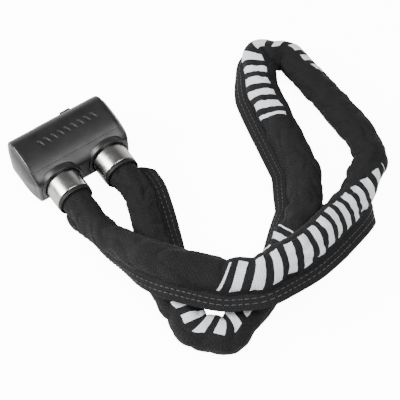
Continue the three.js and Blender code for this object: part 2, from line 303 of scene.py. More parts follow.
# The points under the parting face run from the back wall round under the head to the front.
first_below = next(at for at in below if (at - 1) % len(head_outline) not in below)
order = [(first_below + step) % len(head_outline) for step in range(len(below))]
tray_outline = [head_outline[at] for at in order] + [head_inner[at] for at in order][::-1]
tray_stations = [(-cap_joint + 0.03, 0.14), (-cap_joint + 0.08, 0.04), (-cap_joint + 0.2, 0)]
tray_stations += [(x, 0) for x in range(-33, 34, 3)]
tray_stations += [(-x, depth) for x, depth in tray_stations[:3]][::-1]
tray = piece(
    "lower_shell",
    *loft([[(x, y, z) for y, z in inset(tray_outline, depth)] for x, depth in tray_stations]),
    None,
    black_abs,
    "black_abs",
)


def cut(target, tool, operation="DIFFERENCE"):
    """Cuts or joins a tool piece with a target piece, and removes the tool."""
    change = target.modifiers.new("cut", "BOOLEAN")
    change.object = tool
    change.operation = operation
    change.solver = "EXACT"
    bpy.context.view_layer.update()
    result = bpy.data.meshes.new_from_object(target.evaluated_get(bpy.context.evaluated_depsgraph_get()))
    target.modifiers.clear()
    target.data = result
    bpy.data.objects.remove(tool)


def tool(rings):
    """A piece to cut or join with."""
    return piece("tool", *loft(rings), None, black_abs, "")


def circle(radius, segments):
    angles = [2 * math.pi * k / segments for k in range(segments)]
    return [(radius * math.cos(angle), radius * math.sin(angle)) for angle in angles]


def bar(from_y, to_y, radius, x, z, segments=64):
    return tool([[(x + a, y, z + b) for a, b in circle(radius, segments)] for y in (from_y, to_y)])


def post(from_z, to_z, radius, x, y, segments=40):
    return tool([[(x + a, y + b, z) for a, b in circle(radius, segments)] for z in (from_z, to_z)])


socket_x = 19.5
axis_z = 16.5
lip_radius = 16.2
seat_radius = 14.3
lip_profile = rounded([(12, -18.6), (lip_radius, -18.6), (lip_radius, -24.3), (12, -24.3)], 1.2, 5)
for x in (-socket_x, socket_x):
    lip = piece("tool", *turned(lip_profile, x, axis_z), None, black_abs, "")
    under = [(-60, -30), (60, -30), (60, 5), (-60, 5)]
    cut(lip, tool([[(a, b, z) for a, b in under] for z in (-20, 9)]))
    cut(tray, lip, "UNION")
for x in (-socket_x, socket_x):
    cut(tray, bar(-30, -21.5, seat_radius, x, axis_z, 96))
    cut(tray, bar(-32, -10, 7.6, x, axis_z))
screw_places = ((-29, -10), (29, -10), (-29, 12), (29, 12))
for x, y in screw_places:
    cut(tray, post(-1, 1.9, 3.1, x, y))
    cut(tray, post(-1.5, 9, 1.7, x, y))
smooth_mesh(tray.data, 28)
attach(tray, "head")
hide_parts("head_base")

# ---- Base screws ----
# Four zinc-plated steel screws with a cross recess, driven up into the bosses of the upper shell.


def plated_metal(name, base, roughness, grain_mm, depth_mm):
    """Metal with a fine uneven skin, as plating, casting or tempering leaves it."""
    made = new_material(name)
    place = add(made, "ShaderNodeTexCoord").outputs["Object"]
    skin = add(made, "ShaderNodeTexNoise", {"Vector": place, "Scale": 1 / (grain_mm * MM), "Detail": 4})
    cloud = add(made, "ShaderNodeTexNoise", {"Vector": place, "Scale": 1 / (9 * MM), "Detail": 3})
    tone = add(
        made,
        "ShaderNodeMix",
        {"Factor": cloud.outputs["Fac"], "A": linear(base[0]), "B": linear(base[1])},
        data_type="RGBA",
    )
    gloss = add(
        made,
        "ShaderNodeMapRange",
        {"Value": skin.outputs["Fac"], "To Min": roughness - 0.08, "To Max": roughness + 0.1},
    )
    relief = add(
        made,
        "ShaderNodeBump",
        {"Height": skin.outputs["Fac"], "Strength": 0.4, "Distance": depth_mm * MM},
    )
    surface = add(
        made,
        "ShaderNodeBsdfPrincipled",
        {
            "Base Color": tone.outputs["Result"],
            "Metallic": 1.0,
            "Roughness": gloss.outputs[0],
            "Normal": relief.outputs[0],
        },
    )
    return finish_material(made, surface)


zinc_plated_steel = plated_metal("zinc_plated_steel", ("#9fa3a6", "#b7b8b6"), 0.34, 0.7, 0.05)
# Each as (radius, height), from the recessed head up the shank to its tip.
screw_profile = [
    (0.02, 0.55), (1.9, 0.32), (2.5, 0.55), (2.68, 1.0), (2.68, 1.58), (1.4, 1.62), (1.4, 8.6), (0.02, 8.95),
]
for number, (x, y) in enumerate(screw_places, 1):
    rings = []
    for step in range(40):
        angle = 2 * math.pi * step / 40
        rings.append([(x + r * math.cos(angle), y + r * math.sin(angle), z) for r, z in screw_profile])
    screw = piece("base_screw_%d_shown" % number, *hoop(rings), None, zinc_plated_steel, "")
    for long_x, long_y in ((1.5, 0.35), (0.35, 1.5)):
        signs = ((-1, -1), (1, -1), (1, 1), (-1, 1))
        recess = [(x + a * long_x, y + b * long_y) for a, b in signs]
        cut(screw, tool([[(a, b, z) for a, b in recess] for z in (-1, 1.2)]))
    smooth_mesh(screw.data)
    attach(screw, "head")
    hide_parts("base_screw_%d" % number)

# ---- Lock works inside the head ----
# A zinc die-cast body with the plug sockets and the bolt channel, a turned brass cylinder, and the
# pressed and plated steel cam, bolt, circlip, pins and anchor pin.
cast_zinc = plated_metal("cast_zinc_alloy", ("#85898c", "#96999b"), 0.5, 1.1, 0.15)
turned_brass = plated_metal("turned_brass", ("#b0914d", "#c3a866"), 0.3, 0.5, 0.03)
turned_steel = plated_metal("turned_steel", ("#b4b4b2", "#c4c3c0"), 0.24, 0.4, 0.02)
tempered_steel = plated_metal("tempered_chain_steel", ("#5d5f61", "#727475"), 0.4, 0.9, 0.08)


def give(material, *names):
    for name in names:
        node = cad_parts[name]
        node.data.materials.clear()
        node.data.materials.append(material)


def softened(name, node, width, material, body):
    """A finished copy of a CAD node, with its edges broken by a small bevel."""
    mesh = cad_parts[node].data.copy()
    work = bmesh.new()
    work.from_mesh(mesh)
    bmesh.ops.remove_doubles(work, verts=work.verts, dist=0.002 * MM)
    bmesh.ops.dissolve_limit(work, angle_limit=math.radians(0.6), verts=work.verts, edges=work.edges)
    edges = [e for e in work.edges if len(e.link_faces) == 2 and e.calc_face_angle(0) > math.radians(35)]
    bmesh.ops.bevel(
        work, geom=edges, offset=width * MM, segments=2, profile=0.7, affect="EDGES", clamp_overlap=True
    )
    work.to_mesh(mesh)
    work.free()
    smooth_mesh(mesh, 30)
    mesh.materials.clear()
    mesh.materials.append(material)
    made = bpy.data.objects.new(name, mesh)
    bpy.context.scene.collection.objects.link(made)
    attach(made, body)
    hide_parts(node)
    return made


give(cast_zinc, "lock_body")
give(turned_brass, "cylinder_housing")
give(turned_steel, "key_core")
give(
    zinc_plated_steel,
    "core_circlip",
    "cam_plate",
    "lock_bolt",
    "fixed_anchor_pin",
    "locking_cross_pin",
    "fixed_cross_pin",
)

# ---- Upper shell ----
# The long barrel of the head: black ABS, injection moulded in one piece, that drops over the works
# and meets the lower shell on a sloping face. A row of shallow slanted grooves runs along its top.
above = [at for at, (y, z) in enumerate(head_outline) if z > parting_height(y) - 0.03]
first_above = next(at for at in above if (at - 1) % len(head_outline) not in above)
order = [(first_above + step) % len(head_outline) for step in range(len(above))]
cover_outline = [head_outline[at] for at in order] + [head_inner[at] for at in order][::-1]
outer_count = len(order)
groove_from = -25
groove_to = 30
cover_stations = [(-cap_joint + 0.03, 0.14), (-cap_joint + 0.08, 0.04), (-cap_joint + 0.2, 0)]
cover_stations += [(x, 0) for x in (-34, -31, -28, -26)]
cover_stations += [(groove_from + 0.5 * step, 0) for step in range(111)]
cover_stations += [(x, 0) for x in (31.5, 33.5)]
cover_stations += [(-x, depth) for x, depth in cover_stations[:3]][::-1]
rings = []
for x, depth in cover_stations:
    ring = []
    for at, (y, z) in enumerate(inset(cover_outline, depth)):
        if at < outer_count and -2.5 < y < 8.5 and z > 20 and depth == 0:
            # Grooves every 5.5 mm, leaning with the row, 0.45 mm deep with soft walls.
            phase = ((x - groove_from) + 0.35 * (y - 3)) / 5.5
            across = abs(phase - round(phase)) * 5.5
            inside = min(1, max(0, (1.25 - across) / 0.5)) * min(1, max(0, (2.9 - abs(y - 3)) / 0.6))
            if groove_from + 1.5 < x < groove_to - 1.5:
                z -= 0.45 * inside
        ring.append((x, y, z))
    rings.append(ring)
cover = piece("upper_shell", *loft(rings), None, black_abs, "black_abs")
cut(cover, bar(15, 30, 7.4, 0, 14.5))
smooth_mesh(cover.data, 28)
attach(cover, "head")
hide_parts("head_cover")

# ---- End caps ----
# Two domed caps of the same ABS that snap over the ends of both shells and hold them together. Each
# has a crisp rolled edge where it meets the barrel. Their colour is painted lighter than the barrel's,
# as painted light for the light from the left that falls on the end faces.
cap_abs_painted_lighter = moulded_abs("end_cap_abs_painted_lighter", "#1d1d1f", "#232325", 0.22)
cap_stations = [
    (0.03, 0.14), (0.08, 0.04), (0.2, 0), (0.45, 0.05), (0.9, 0.25), (1.3, 0.6), (1.65, 1.1), (1.9, 1.7),
    (2.05, 2.4),
]
middle_y, middle_z = 1.0, 16.0
for side, node in ((-1, "end_cap_left"), (1, "end_cap_right")):
    rings = []
    for out, depth in cap_stations:
        rings.append([(side * (cap_joint + out), y, z) for y, z in inset(head_outline, depth)])
    edge = inset(head_outline, 2.4)
    for step in range(1, 13):
        share = 1 - (step / 12.2) ** 1.25
        rise = 2.05 + 3.85 * (1 - share**2.2) ** 0.8
        x = side * (cap_joint + rise)
        rings.append(
            [(x, middle_y + (y - middle_y) * share, middle_z + (z - middle_z) * share) for y, z in edge]
        )
    piece(node + "_shown", *loft(rings), "head", cap_abs_painted_lighter, "end_cap_abs", [node])

# ---- Keyway escutcheon and dust cover ----
# A flat black ABS plate with two lips, fixed over the keyway, and the small slide that runs between
# the lips and is pushed aside by its ribbed tab.
softened("escutcheon_plate", "keyway_escutcheon", 0.22, black_abs, "head")
softened("dust_slide", "dust_cover", 0.3, black_abs, "dust_cover")

# ---- Ferrules ----
# Two collars of stainless tube, turned and polished, that cap the chain's ends and sit in the seats
# of the lower shell. Fine turning lines run round them.
ferrule_steel = new_material("polished_stainless_steel")
place = add(ferrule_steel, "ShaderNodeTexCoord").outputs["Object"]
# Turning lines every 0.3 mm along the collar.
lines = add(ferrule_steel, "ShaderNodeMapping", {"Vector": place, "Scale": (30, 1 / (0.3 * MM), 30)})
turning = add(ferrule_steel, "ShaderNodeTexNoise", {"Vector": lines.outputs[0], "Scale": 1, "Detail": 2})
smear = add(ferrule_steel, "ShaderNodeTexNoise", {"Vector": place, "Scale": 1 / (8 * MM), "Detail": 4})
steel_tone = add(
    ferrule_steel,
    "ShaderNodeMix",
    {"Factor": smear.outputs["Fac"], "A": linear("#9b9a98"), "B": linear("#b0afad")},
    data_type="RGBA",
)
steel_gloss = add(
    ferrule_steel,
    "ShaderNodeMapRange",
    {"Value": smear.outputs["Fac"], "From Min": 0.3, "From Max": 0.7, "To Min": 0.22, "To Max": 0.32},
)
steel_relief = add(
    ferrule_steel,
    "ShaderNodeBump",
    {"Height": turning.outputs["Fac"], "Strength": 0.1, "Distance": 0.03 * MM},
)
finish_material(
    ferrule_steel,
    add(
        ferrule_steel,
        "ShaderNodeBsdfPrincipled",
        {
            "Base Color": steel_tone.outputs["Result"],
            "Metallic": 1.0,
            "Roughness": steel_gloss.outputs[0],
            "Normal": steel_relief.outputs[0],
        },
    ),
)
ends = (("locking", -socket_x, "locking_end"), ("fixed", socket_x, "head"))
collar = [(7.6, -23.8), (7.6, -21.8), (13.6, -21.8), (13.6, -39.9), (11.7, -39.9), (11.7, -23.8)]
for prefix, x, body in ends:
    piece(
        prefix + "_collar",
        *turned(rounded(collar, 0.7, 5), x, axis_z, 128),
        body,
        ferrule_steel,
        "polished_steel",
        [prefix + "_ferrule"],
    )

# ---- Plugs and cross pins ----
# The turned steel plug in each collar: its nose carries the groove that the bolt drops into, and a
# pin through its slot holds the chain's last link.
give(turned_steel, "locking_plug", "fixed_plug")

# ---- Clamp rings ----
# A black rubber band rolled over each collar's mouth, which grips the sleeve's end.
band_rubber = new_material("moulded_black_rubber")
place = add(band_rubber, "ShaderNodeTexCoord").outputs["Object"]
bloom = add(band_rubber, "ShaderNodeTexNoise", {"Vector": place, "Scale": 1 / (3 * MM), "Detail": 5})
rubber_tone = add(
    band_rubber,
    "ShaderNodeMix",
    {"Factor": bloom.outputs["Fac"], "A": linear("#060607"), "B": linear("#0c0c0d")},
    data_type="RGBA",
)
pebble = add(band_rubber, "ShaderNodeTexVoronoi", {"Vector": place, "Scale": 1 / (0.5 * MM)})
rubber_skin = add(
    band_rubber,
    "ShaderNodeBump",
    {"Height": pebble.outputs["Distance"], "Strength": 0.3, "Distance": 0.08 * MM},
)
finish_material(
    band_rubber,
    add(
        band_rubber,
        "ShaderNodeBsdfPrincipled",
        {
            "Base Color": rubber_tone.outputs["Result"],
            "Roughness": 0.62,
            "IOR": 1.52,
            "Specular IOR Level": 0.3,
            "Normal": rubber_skin.outputs[0],
        },
    ),
)
band = [(11.8, -42.9), (11.8, -40.2), (13.45, -40.2), (13.3, -42.9)]
for prefix, x, body in ends:
    piece(
        prefix + "_band",
        *turned(rounded(band, 0.9, 5), x, axis_z),
        body,
        band_rubber,
        "black_rubber",
        [prefix + "_clamp_ring"],
    )

# ---- Chain ----
# Links of square tempered steel bar, bent and welded, each at right angles to the next. They are
# shut in the sleeve, and only their shape shows through it.
link_count = 31
give(tempered_steel, *["chain_link_%02d" % number for number in range(1, link_count + 1)])

# ---- Sleeve ----
# A tube of plain-woven black nylon. It is one long strip folded round the chain and joined edge to
# edge, which leaves a flat stitched seam along one side, with reflective bars printed beside it.


def through(points, steps):
    """A smooth line through the points, with this many steps from each to the next."""
    points = [np.array(point, float) for point in points]
    points = [2 * points[0] - points[1]] + points + [2 * points[-1] - points[-2]]
    line = []
    for at in range(1, len(points) - 2):
        p0, p1, p2, p3 = points[at - 1 : at + 3]
        t1 = np.linalg.norm(p1 - p0) ** 0.5
        t2 = t1 + np.linalg.norm(p2 - p1) ** 0.5
        t3 = t2 + np.linalg.norm(p3 - p2) ** 0.5
        for step in range(steps):
            t = t1 + (t2 - t1) * step / steps
            a1 = (t1 - t) / t1 * p0 + t / t1 * p1
            a2 = (t2 - t) / (t2 - t1) * p1 + (t - t1) / (t2 - t1) * p2
            a3 = (t3 - t) / (t3 - t2) * p2 + (t - t2) / (t3 - t2) * p3
            b1 = (t2 - t) / t2 * a1 + t / t2 * a2
            b2 = (t3 - t) / (t3 - t1) * a2 + (t - t1) / (t3 - t1) * a3
            line.append((t2 - t) / (t2 - t1) * b1 + (t - t1) / (t2 - t1) * b2)
    line.append(points[-2])
    return np.array(line)


# The points about which the links turn: each link's middle lies half way between two of them.
turns = [np.array([-socket_x, -28.25, axis_z])]
for number in range(1, link_count + 1):
    low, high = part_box("chain_link_%02d" % number)
    turns.append(np.array((low + high) / MM) - turns[-1])
smooth_turns = through(turns, 2)
guide = [np.array([-socket_x, -38.8, axis_z]), np.array([-socket_x, -50, axis_z])]
for number in range(1, link_count):
    guide.append(turns[number])
    if number < link_count - 1:
        middle = (turns[number] + turns[number + 1]) / 2
        bowed = smooth_turns[2 * number + 1]
        guide.append(middle + 0.45 * (np.array([bowed[0], bowed[1], middle[2]]) - middle))
guide += [np.array([socket_x, -50, axis_z]), np.array([socket_x, -38.8, axis_z])]
fine = through(guide, 24)
travel = np.concatenate([[0], np.cumsum(np.linalg.norm(np.diff(fine, axis=0), axis=1))])
sleeve_length = travel[-1]
ring_count = 2 * int(sleeve_length / 3) + 1
along = np.linspace(0, sleeve_length, ring_count)
centre = np.stack([np.interp(along, travel, fine[:, axis]) for axis in range(3)], axis=1)
ring_step = along[1]


def eased(values, width):
    """Values along the sleeve, averaged over a width in millimetres."""
    reach = max(1, int(round(width / ring_step / 2)))
    weights = np.hanning(2 * reach + 3)[1:-1]
    weights /= weights.sum()
    padded = np.concatenate([np.repeat(values[:1], reach, 0), values, np.repeat(values[-1:], reach, 0)])
    return np.stack([np.convolve(column, weights, "valid") for column in padded.T], axis=1)


heading = np.gradient(centre, axis=0)
heading /= np.linalg.norm(heading, axis=1)[:, None]
heading = eased(heading, 22)
heading /= np.linalg.norm(heading, axis=1)[:, None]
right = np.stack([heading[:, 1], -heading[:, 0], np.zeros(ring_count)], axis=1)
right /= np.linalg.norm(right, axis=1)[:, None]
upward = np.cross(right, heading)
bearing = np.unwrap(np.arctan2(heading[:, 1], heading[:, 0]))
bend = np.gradient(bearing, along)

# How far the seam is rolled below the right-hand side, in degrees, at distances in millimetres.
rolls = [
    (0, -30), (30, -62), (60, -46), (100, -22), (140, -12), (240, -10), (256, -14), (270, -32), (280, -60),
    (292, -84),
    (385, -70), (415, -50), (445, -32), (485, -16), (545, -16), (595, -26), (645, -45), (695, -50),
    (745, -40), (785, -16), (815, -4), (850, -2),
]
roll = np.radians(np.interp(along, [at for at, angle in rolls], [angle for at, angle in rolls]))
roll = eased(roll[:, None], 30)[:, 0]
half_width = 12.7
half_height = 10.5
seam_width = 9.3
seam_half = 0.85
from_end = np.minimum(along, sleeve_length - along)
seam_reach = seam_width * np.clip((from_end - 4.5) / 9, 0.02, 1) ** 0.7
# It is gripped in the collars, and drawn in for some way beyond them.
wide_at = np.interp(from_end, [0, 5, 12, 28, 60, 95], [11.3, 11.3, 10.7, 10.2, 11.2, half_width])
high_at = np.interp(from_end, [0, 5, 12, 28, 60, 95], [11.3, 11.3, 10.6, 10.1, 10.3, half_height])
girth_count = 60
seam_count = 5
turn_at = np.array([along[np.argmin(np.linalg.norm(centre - turn, axis=1))] for turn in turns[1:-1]])
joint_at = turn_at[np.abs(along[:, None] - turn_at).argmin(axis=1)]
random = np.random.default_rng(7)
waves = [
    (random.uniform(0.02, 0.12), random.integers(1, 4), random.uniform(0, 6.28), random.uniform(0, 6.28))
    for wave in range(14)
]


def drawn_at(wide, high, turn, aside):
    """How far out, in the seam's direction, the oval lies at a distance to the seam's side."""
    angles = turn + np.linspace(0, math.pi / 2, 60)
    x, y = wide * np.cos(angles), high * np.sin(angles)
    out = x * math.cos(turn) + y * math.sin(turn)
    off = -x * math.sin(turn) + y * math.cos(turn)
    return float(np.interp(aside, off[: int(off.argmax()) + 1], out[: int(off.argmax()) + 1]))


def section(at):
    """One ring of the sleeve, and each point's place across the cloth in millimetres."""
    seam_angle = roll[at]
    start = seam_half / half_width
    wide = wide_at[at]
    high = high_at[at]
    angles = seam_angle + np.linspace(start, 2 * math.pi - start, girth_count)
    cosine, sine = np.cos(angles), np.sin(angles)
    outward = np.stack([cosine / wide, sine / high], axis=1)
    outward /= np.linalg.norm(outward, axis=1)[:, None]
    ring = np.stack([wide * cosine, high * sine], axis=1)
    # Beside the seam the two faces run straight to it, where they are stitched together.
    root = np.array([wide * math.cos(seam_angle), high * math.sin(seam_angle)])
    root *= 1 + 0.14 * min(1, seam_reach[at] / seam_width)
    seam_cosine, seam_sine = math.cos(seam_angle), math.sin(seam_angle)
    unit = np.array([[seam_cosine, seam_sine], [-seam_sine, seam_cosine]])
    drawn = ring @ unit.T
    tip_out = (unit @ root)[0]
    for point in drawn:
        share = abs(point[1]) / (0.62 * half_height)
        if point[0] > 0 and share < 1:
            straight = tip_out + (drawn_at(wide, high, seam_angle, 0.62 * half_height) - tip_out) * share
            point[0] = max(point[0], straight)
    ring = drawn @ unit
    s = along[at]
    # The cloth folds sharply on the inside of each bend, where two links meet.
    inner = np.clip(-cosine * np.sign(bend[at]) + 0.25, 0, 1)
    tight = min(1, abs(bend[at]) * 16)
    from_fold = np.abs(s - joint_at[at] + 2.5 * np.sin(2 * angles + joint_at[at]))
    relief = -2.3 * tight * inner * np.exp(-from_fold / 2.6)
    # On the outside a link's end pushes it out.
    relief = relief + 1.5 * tight * np.clip(cosine * np.sign(bend[at]), 0, 1) ** 1.5
    # Slack cloth breaks into long slanting creases between the links.
    for reach, depth, seed in ((17, 1.3, 0), (8, 0.5, 40)):
        for column, angle in enumerate(angles):
            round_it = 14 / reach
            spot = Vector(
                (
                    s / reach + 0.5 * math.sin(angle) + seed,
                    round_it * math.cos(angle),
                    round_it * math.sin(angle),
                )
            )
            ridge = 1 - min(1, abs(noise.noise(spot)) * 3.2)
            relief[column] -= depth * ridge * ridge
    # It is gathered at the collars, and slack and uneven everywhere.
    gathered = math.exp(-(from_end[at] - 4) / 9) if from_end[at] > 4 else 0
    relief = relief + 0.55 * gathered * np.sin(9 * angles + 1.3 * np.sin(2 * angles))
    for rate, lobes, phase, shift in waves:
        relief = relief + 0.17 * np.sin(rate * s * 2 * math.pi / 1.6 + phase) * np.sin(lobes * angles + shift)
    # The collars hold its ends smooth.
    relief = relief * (1 if from_end[at] > 5 else 0)
    ring = ring + outward * relief[:, None]
    place = np.concatenate([[0], np.cumsum(np.linalg.norm(np.diff(ring, axis=0), axis=1))])
    place *= 73.0 / place[-1]
    lean = math.atan2(math.sin(seam_angle) / high, math.cos(seam_angle) / wide)
    tuck = np.clip((-math.degrees(seam_angle) - 20) / 40, 0, 1) * 2.0
    spine = [root]
    leans = [lean]
    for step in range(seam_count):
        lean -= tuck / seam_count
        spine.append(spine[-1] + seam_reach[at] / seam_count * np.array([math.cos(lean), math.sin(lean)]))
        leans.append(lean)
    upper = []
    lower = []
    for step in range(1, seam_count + 1):
        half = seam_half * (1 if step < seam_count else 0.8) * min(1, seam_reach[at] / 3)
        side = half * np.array([-math.sin(leans[step]), math.cos(leans[step])])
        upper.append(spine[step] + side)
        lower.append(spine[step] - side)
    tip = spine[-1] + 0.45 * min(1, seam_reach[at] / 3) * np.array([math.cos(lean), math.sin(lean)])
    flat = seam_reach[at] / seam_count
    ring = np.concatenate([upper[::-1], ring, lower, [tip]])
    across = np.concatenate(
        [
            [-flat * step for step in range(seam_count, 0, -1)],
            place,
            [73.0 + flat * step for step in range(1, seam_count + 1)],
            [73.0 + flat * seam_count + 0.8],
        ]
    )
    placed = centre[at] + ring[:, :1] * right[at] + ring[:, 1:] * upward[at]
    facing = outward[:, :1] * right[at] + outward[:, 1:] * upward[at]
    return placed, facing, across


sections = [section(at) for at in range(ring_count)]
skin = np.array([placed for placed, facing, across in sections])
facings = np.array([facing for placed, facing, across in sections])
cloth = np.array([across for placed, facing, across in sections])

# The cloth lies over the links, 0.9 mm above them at the nearest.
link_shapes = []
for number in range(1, link_count + 1):
    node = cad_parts["chain_link_%02d" % number]
    mesh = node.data
    corners = [node.matrix_world @ vertex.co / MM for vertex in mesh.vertices]
    link_shapes.append(BVHTree.FromPolygons(corners, [tuple(face.vertices) for face in mesh.polygons]))
ends_at = np.concatenate([[0], turn_at, [sleeve_length]])
carried = np.zeros((ring_count, girth_count))
for at in range(ring_count):
    for number in range(link_count):
        if not ends_at[number] - 12 < along[at] < ends_at[number + 1] + 12:
            continue
        for column in range(girth_count):
            way = Vector(facings[at][column])
            start = Vector(skin[at][seam_count + column]) + 9 * way
            found = link_shapes[number].ray_cast(start, -way, 18)
            if found[0] is not None:
                carried[at][column] = max(carried[at][column], 9.9 - found[3])
# The greatest value among a place and its neighbours, and then their average, so that it has no steps.
for combine in (np.max, np.mean):
    wider = np.pad(carried, 1, mode="edge")
    shifts = [(a, b) for a in range(3) for b in range(3)]
    carried = combine([wider[a : a + ring_count, b : b + girth_count] for a, b in shifts], axis=0)
skin[:, seam_count : seam_count + girth_count] += carried[:, :, None] * facings
# It rests on the floor, so nothing reaches lower.
low = skin[:, :, 2]
skin[:, :, 2] = np.where(low < 1.2, 0.25 + 0.95 * np.exp((np.minimum(low, 1.2) - 1.2) / 0.95), low)

# Woven nylon, with the print as part of the cloth's surface.
nylon = new_material("plain_woven_nylon")
weft = 1.6
place = add(nylon, "ShaderNodeUVMap", uv_map="cloth").outputs["UV"]
split = add(nylon, "ShaderNodeSeparateXYZ", {"Vector": place})
lengthways, crossways = split.outputs["X"], split.outputs["Y"]
# A wave texture repeats every 0.314 of its own unit; threads lie 1.6 mm apart, drawn coarse so that
# they show.
wave_scale = 2 * math.pi / 20 / (weft * MM)
warp = add(
    nylon, "ShaderNodeTexWave", {"Vector": place, "Scale": wave_scale, "Distortion": 0.4, "Detail": 1},
    wave_type="BANDS", bands_direction="X",
)
fill = add(
    nylon, "ShaderNodeTexWave", {"Vector": place, "Scale": wave_scale, "Distortion": 0.4, "Detail": 1},
    wave_type="BANDS", bands_direction="Y",
)
over = add(nylon, "ShaderNodeTexChecker", {"Vector": place, "Scale": 1 / (weft * MM)})
weave = add(
    nylon, "ShaderNodeMix",
    {"Factor": over.outputs["Fac"], "A": warp.outputs["Fac"], "B": fill.outputs["Fac"]},
)
fuzz = add(nylon, "ShaderNodeTexNoise", {"Vector": place, "Scale": 1 / (0.7 * MM), "Detail": 3})
dust = add(nylon, "ShaderNodeTexNoise", {"Vector": place, "Scale": 1 / (17 * MM), "Detail": 5})
thread_tone = add(
    nylon, "ShaderNodeMix",
    {"Factor": weave.outputs["Result"], "A": linear("#030303"), "B": linear("#1b1b1d")},
    data_type="RGBA",
)
cloth_tone = add(
    nylon, "ShaderNodeMix",
    {"Factor": dust.outputs["Fac"], "A": thread_tone.outputs["Result"], "B": linear("#0c0c0d")},
    data_type="RGBA",
)
# Reflective bars: they lean, stand in three groups, and are 11.5 mm apart.
leaned = add(nylon, "ShaderNodeMath", {0: crossways, 1: 0.32}, operation="MULTIPLY")
shifted = add(nylon, "ShaderNodeMath", {0: lengthways, 1: leaned.outputs[0]}, operation="SUBTRACT")
counted = add(nylon, "ShaderNodeMath", {0: shifted.outputs[0], 1: 11.5 * MM}, operation="DIVIDE")
in_bar = add(nylon, "ShaderNodeMath", {0: counted.outputs[0]}, operation="FRACT")
wide_bar = add(nylon, "ShaderNodeMath", {0: in_bar.outputs[0], 1: 0.54}, operation="LESS_THAN")
# The last group is printed 4.5 mm further from the seam than the others.
later = add(
    nylon, "ShaderNodeMapRange",
    {"Value": lengthways, "From Min": 560 * MM, "From Max": 600 * MM, "To Min": 0, "To Max": 4.5 * MM},
)
from_seam = add(nylon, "ShaderNodeMath", {0: crossways, 1: later.outputs[0]}, operation="SUBTRACT")
low_edge = add(nylon, "ShaderNodeMath", {0: from_seam.outputs[0], 1: 3.5 * MM}, operation="GREATER_THAN")
high_edge = add(nylon, "ShaderNodeMath", {0: from_seam.outputs[0], 1: 26 * MM}, operation="LESS_THAN")
band_mask = add(
    nylon, "ShaderNodeMath", {0: low_edge.outputs[0], 1: high_edge.outputs[0]}, operation="MULTIPLY"
)
groups = None
for begin, end in ((131, 288), (378, 498), (603, 776)):
    after = add(nylon, "ShaderNodeMath", {0: shifted.outputs[0], 1: begin * MM}, operation="GREATER_THAN")
    before = add(nylon, "ShaderNodeMath", {0: shifted.outputs[0], 1: end * MM}, operation="LESS_THAN")
    group = add(nylon, "ShaderNodeMath", {0: after.outputs[0], 1: before.outputs[0]}, operation="MULTIPLY")
    groups = group if groups is None else add(
        nylon, "ShaderNodeMath", {0: groups.outputs[0], 1: group.outputs[0]}, operation="ADD"
    )
bars = add(nylon, "ShaderNodeMath", {0: wide_bar.outputs[0], 1: band_mask.outputs[0]}, operation="MULTIPLY")
printed = add(nylon, "ShaderNodeMath", {0: bars.outputs[0], 1: groups.outputs[0]}, operation="MULTIPLY")
worn_print = add(
    nylon, "ShaderNodeMapRange",
    {"Value": fuzz.outputs["Fac"], "From Min": 0.28, "From Max": 0.36, "To Min": 0.55, "To Max": 1},
)
ink = add(nylon, "ShaderNodeMath", {0: printed.outputs[0], 1: worn_print.outputs[0]}, operation="MULTIPLY")
print_tone = add(
    nylon, "ShaderNodeMix",
    {"Factor": weave.outputs["Result"], "A": linear("#b4b7ba"), "B": linear("#e2e5e8")},
    data_type="RGBA",
)
face_tone = add(
    nylon, "ShaderNodeMix",
    {"Factor": ink.outputs[0], "A": cloth_tone.outputs["Result"], "B": print_tone.outputs["Result"]},
    data_type="RGBA",
)
flatter = add(nylon, "ShaderNodeMapRange", {"Value": ink.outputs[0], "To Min": 1, "To Max": 0.4})
fuzzed = add(nylon, "ShaderNodeMath", {0: fuzz.outputs["Fac"], 1: weave.outputs["Result"]}, operation="ADD")
depth = add(nylon, "ShaderNodeMath", {0: fuzzed.outputs[0], 1: flatter.outputs[0]}, operation="MULTIPLY")
cloth_relief = add(
    nylon, "ShaderNodeBump", {"Height": depth.outputs[0], "Strength": 0.8, "Distance": 0.35 * MM}
)
cloth_gloss = add(
    nylon, "ShaderNodeMapRange", {"Value": ink.outputs[0], "To Min": 0.78, "To Max": 0.42},
)
finish_material(
    nylon,
    add(
        nylon,
        "ShaderNodeBsdfPrincipled",
        {
            "Base Color": face_tone.outputs["Result"],
            "Roughness": cloth_gloss.outputs[0],
            "IOR": 1.53,
            "Specular IOR Level": 0.2,
            "Sheen Weight": 0.04,
            "Sheen Roughness": 0.4,
            "Sheen Tint": linear("#8f9298"),
            "Normal": cloth_relief.outputs[0],
        },
    ),
)


def sleeve_piece(name, first, last, replaced):
    """The sleeve between two of its rings."""
    count = skin.shape[1]
    points, faces = loft([list(map(tuple, skin[row])) for row in range(first, last + 1)])
    made = piece(name, points, faces, None, nylon, "")
    mesh = made.data
    layer = mesh.uv_layers.new(name="cloth")
    for face in mesh.polygons:
        corners = list(face.loop_indices)
        columns = [mesh.loops[corner].vertex_index % count for corner in corners]
        wraps = len(corners) == 4 and max(columns) == count - 1 and min(columns) == 0
        for corner, column in zip(corners, columns):
            row = first + mesh.loops[corner].vertex_index // count
            across = cloth[row][column]
            if wraps and column == 0:
                across = cloth[row][count - 1] + 0.8
            layer.data[corner].uv = (along[row] * MM, across * MM)
    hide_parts(*replaced)
    return made


join = int(np.searchsorted(along, 226))
near_sleeve = sleeve_piece("sleeve_near_locking_end", 0, join, ["sleeve_cuff", "sleeve_locking_strand"])
far_sleeve = sleeve_piece(
    "sleeve_loop_and_fixed_end", join, ring_count - 1, ["sleeve_loop", "sleeve_fixed_strand"]
)

